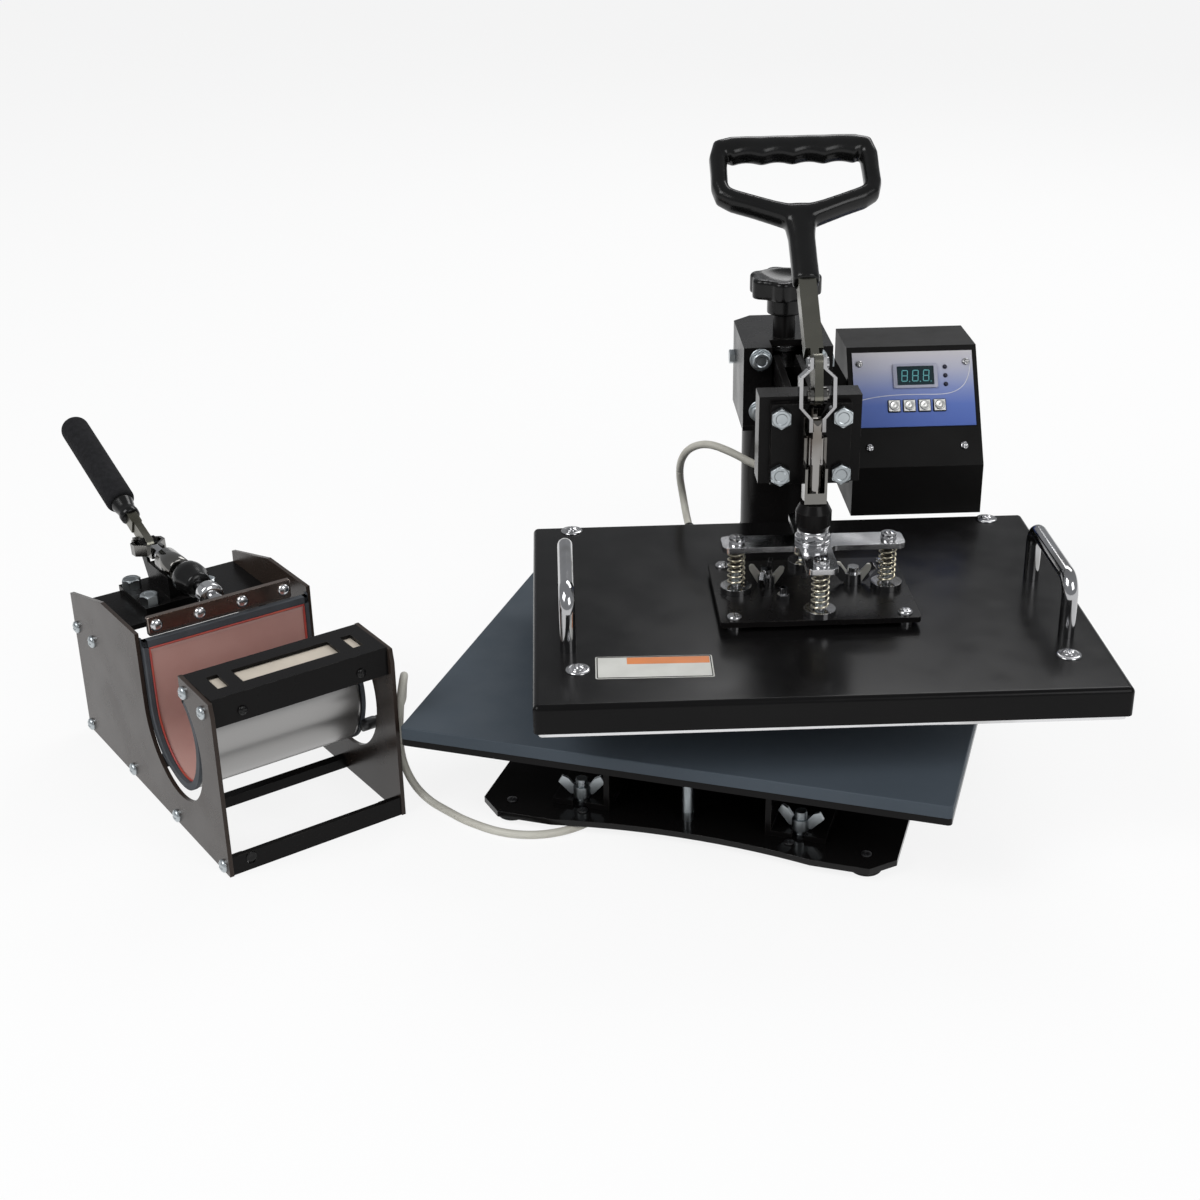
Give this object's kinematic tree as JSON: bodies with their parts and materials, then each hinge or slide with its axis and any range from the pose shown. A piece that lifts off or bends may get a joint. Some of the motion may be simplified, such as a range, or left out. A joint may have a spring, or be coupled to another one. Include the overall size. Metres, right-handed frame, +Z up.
{
  "type": "combination heat press",
  "caption": "Swing-away flat heat press on a column base, with a lever-closed upper platen, a control box and a tethered mug press beside it",
  "frame": {"origin": "on the bench, under the middle of the footprint of the press and the mug press together, leads left out", "axes": "+X to the operator's right, +Y away from the operator, +Z up"},
  "size_m": [0.8631, 0.5935, 0.437],
  "materials": {
    "black_paint": "semi-gloss powder coat",
    "chrome": "bright plate",
    "steel": "turned steel",
    "stainless": "polished stainless sheet",
    "silicone_pad": "soft matte foam rubber",
    "rubber": "matte rubber",
    "grip_plastic": "satin moulded plastic",
    "knob_plastic": "satin moulded plastic",
    "foam": "closed-cell foam sleeve",
    "heat_lining": "smooth silicone heater mat",
    "blanket": "ceramic fibre blanket",
    "heat_plate": "machined aluminium",
    "element": "oxidised sheath",
    "box_paint": "semi-gloss black paint",
    "panel_film": "printed polyester film",
    "display": "dark lens",
    "board": "solder-masked board",
    "connector_plastic": "moulded black plastic",
    "lead_sleeve": "braided glass sleeving",
    "button_metal": "satin button cap",
    "bronze": "sintered bronze"
  },
  "bodies": {
    "base": {"base_plate": "black_paint", "rubber_feet": "rubber", "base_fasteners": "chrome", "column_post": "black_paint", "swing_spindle": "steel", "platen_stand": "black_paint", "lower_platen": "black_paint", "silicone_pad": "silicone_pad", "mug_side_plates": "black_paint", "mug_crossbars": "black_paint", "mug_front_channel": "black_paint", "mug_deck": "black_paint", "mug_frame_screws": "chrome", "mug_wrap_sheet": "stainless", "mug_wrap_lining": "heat_lining", "mug_toggle_body": "black_paint", "mug_lead_ends": "connector_plastic", "mug_lead": "lead_sleeve", "mug_lead_coil": "lead_sleeve"},
    "head": {"swing_sleeve": "black_paint", "swing_bushes": "bronze", "arm_housing": "black_paint", "head_fasteners": "chrome", "control_box": "box_paint", "control_panel": "panel_film", "display_module": "display", "circuit_board": "board", "box_cover": "box_paint", "box_connectors": "connector_plastic", "heater_lead": "lead_sleeve"},
    "knob": {"pressure_knob": "knob_plastic", "pressure_screw": "steel"},
    "clamp": {"clamp_arm": "black_paint", "clamp_bracket": "black_paint", "clamp_bolts": "chrome", "toggle_body": "chrome"},
    "lever": {"press_lever": "chrome", "lever_grip": "grip_plastic"},
    "links": {"side_links": "chrome"},
    "ram": {"plunger": "chrome", "plunger_nose": "black_paint", "spider_plate": "black_paint", "platen_springs": "chrome"},
    "upper_platen": {"platen_fasteners": "chrome", "mount_plate": "black_paint", "heater_cover": "black_paint", "heat_plate": "heat_plate", "heating_element": "element", "insulation_blanket": "blanket", "lift_handles": "chrome"},
    "rocker": {"power_rocker": "connector_plastic"},
    "button_1": {"push_button_1": "button_metal"},
    "button_2": {"push_button_2": "button_metal"},
    "button_3": {"push_button_3": "button_metal"},
    "button_4": {"push_button_4": "button_metal"},
    "mug_lever_body": {"mug_lever": "chrome", "mug_grip": "foam"},
    "mug_links_body": {"mug_links": "chrome"},
    "mug_ram": {"mug_plunger": "chrome", "mug_clamp_strip": "black_paint"}
  },
  "joints": [
    {"name": "swing", "type": "hinge", "parent": "base", "child": "head", "pos_m": [0.1456, 0.1326, 0.165], "axis": [0, 0, 1], "range_deg": [-19.5, 100]},
    {"name": "pressure_turn", "type": "hinge", "parent": "head", "child": "knob", "pos_m": [0.1456, 0.1326, 0.31], "axis": [0, 0, 1], "range_deg": [-1260.2, 0]},
    {"name": "clamp_height", "type": "slide", "parent": "head", "child": "clamp", "axis": [0, 0, 1], "range_m": [-0.007, 0]},
    {"name": "lever_turn", "type": "hinge", "parent": "clamp", "child": "lever", "pos_m": [0.20569, -0.03707, 0.29], "axis": [0.9426, 0.3338, 0], "range_deg": [0, 135]},
    {"name": "link_turn", "type": "hinge", "parent": "lever", "child": "links", "pos_m": [0.20403, -0.03241, 0.31144], "axis": [0.9426, 0.3338, 0], "range_deg": [-102.19, 0]},
    {"name": "ram_drop", "type": "slide", "parent": "clamp", "child": "ram", "axis": [0, 0, -1], "range_m": [0, 0.02906]},
    {"name": "platen_float", "type": "slide", "parent": "ram", "child": "upper_platen", "axis": [0, 0, 1], "range_m": [0, 0.005], "stiffness_N_per_m": 26000, "springref_m": -0.0045, "deforming": ["platen_springs"]},
    {"name": "rocker_tip", "type": "hinge", "parent": "head", "child": "rocker", "pos_m": [0.2408, 0.27717, 0.152], "axis": [0.9426, 0.3338, 0], "range_deg": [0, 14]},
    {"name": "button_1_press", "type": "slide", "parent": "head", "child": "button_1", "axis": [-0.2783, 0.7858, -0.5524], "range_m": [0, 0.0012], "stiffness_N_per_m": 900, "springref_m": -0.0005},
    {"name": "button_2_press", "type": "slide", "parent": "head", "child": "button_2", "axis": [-0.2783, 0.7858, -0.5524], "range_m": [0, 0.0012], "stiffness_N_per_m": 900, "springref_m": -0.0005},
    {"name": "button_3_press", "type": "slide", "parent": "head", "child": "button_3", "axis": [-0.2783, 0.7858, -0.5524], "range_m": [0, 0.0012], "stiffness_N_per_m": 900, "springref_m": -0.0005},
    {"name": "button_4_press", "type": "slide", "parent": "head", "child": "button_4", "axis": [-0.2783, 0.7858, -0.5524], "range_m": [0, 0.0012], "stiffness_N_per_m": 900, "springref_m": -0.0005},
    {"name": "mug_lever_turn", "type": "hinge", "parent": "base", "child": "mug_lever_body", "pos_m": [-0.31055, -0.072, 0.137], "axis": [0.6046, 0.7965, 0], "range_deg": [0, 115]},
    {"name": "mug_link_turn", "type": "hinge", "parent": "mug_lever_body", "child": "mug_links_body", "pos_m": [-0.32142, -0.06375, 0.13385], "axis": [0.6046, 0.7965, 0], "range_deg": [-81.81, 0]},
    {"name": "mug_ram_push", "type": "slide", "parent": "base", "child": "mug_ram", "axis": [0.7965, -0.6046, 0], "range_m": [0, 0.01341]}
  ],
  "couplings": [
    {"joint": "pressure_turn", "follows": "clamp_height", "rad_per_m": 3141.6},
    {"joint": "link_turn", "follows": "lever_turn", "ratio": -0.75697},
    {"joint": "ram_drop", "follows": "lever_turn", "m_per_rad": 0.012333},
    {"joint": "mug_link_turn", "follows": "mug_lever_turn", "ratio": -0.71143},
    {"joint": "mug_ram_push", "follows": "mug_lever_turn", "m_per_rad": 0.006681}
  ]
}
